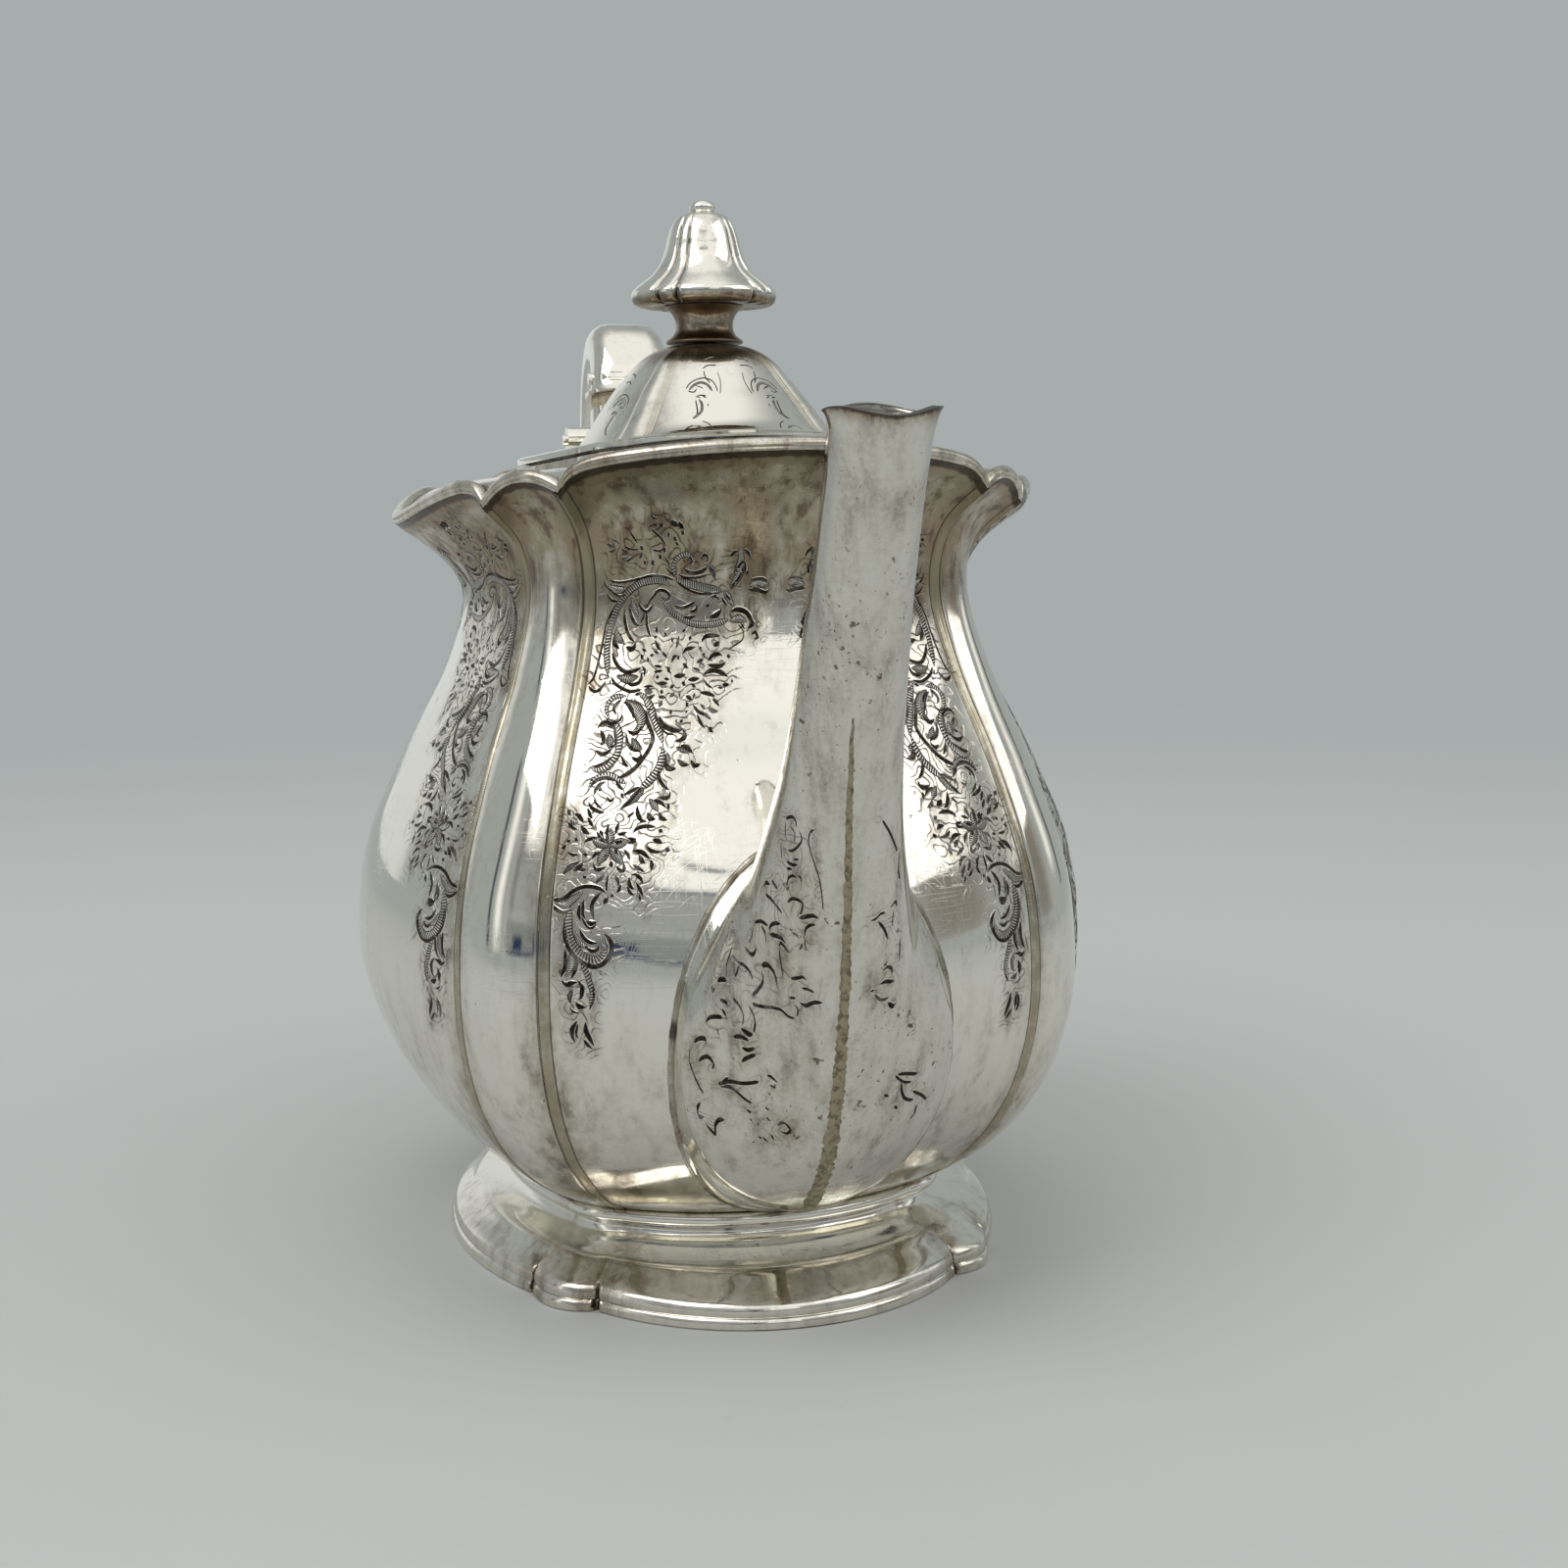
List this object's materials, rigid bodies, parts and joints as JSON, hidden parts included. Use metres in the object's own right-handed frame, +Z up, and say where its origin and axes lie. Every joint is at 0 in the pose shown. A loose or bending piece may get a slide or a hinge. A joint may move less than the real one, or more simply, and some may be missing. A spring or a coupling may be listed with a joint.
{
  "type": "coffee pot",
  "caption": "Panelled oval silver coffee pot with a scalloped rim and foot, S-curved spout, looped handle and hinged domed lid with a bell-flower finial.",
  "frame": {"origin": "the pot's axis at the table, the middle of the foot's flat underside", "axes": "+Z up; +X towards the spout, so the handle is at -X; +Y completes the right-handed frame"},
  "size_m": [0.2108, 0.1134, 0.163],
  "materials": {
    "silver": "polished silver with warm tarnish in the recesses",
    "bone": "aged bone"
  },
  "bodies": {
    "pot": {"body_shell": "silver", "base_disc": "silver", "foot_collar": "silver", "foot": "silver", "foot_wire": "silver", "rim_moulding": "silver", "shoulder": "silver", "mouth_ring": "silver", "spout_left": "silver", "spout_right": "silver", "strainer": "silver", "hinge_body_leaf": "silver", "hinge_pin": "silver", "handle_upper_socket": "silver", "handle_upper_insulator": "bone", "handle_upper_pin": "silver", "handle_lower_socket": "silver", "handle_lower_insulator": "bone", "handle_lower_pin": "silver", "handle_grip": "silver"},
    "lid": {"lid_dome": "silver", "lid_bezel": "silver", "hinge_lid_leaf": "silver", "finial_foot": "silver", "finial_bell": "silver", "finial_button": "silver", "finial_stud": "silver", "finial_washer": "silver", "finial_nut": "silver"}
  },
  "joints": [
    {"name": "lid_hinge", "type": "hinge", "parent": "pot", "child": "lid", "pos_m": [-0.0406, 0, 0.1271], "axis": [0, -1, 0], "range_deg": [0, 90]}
  ]
}
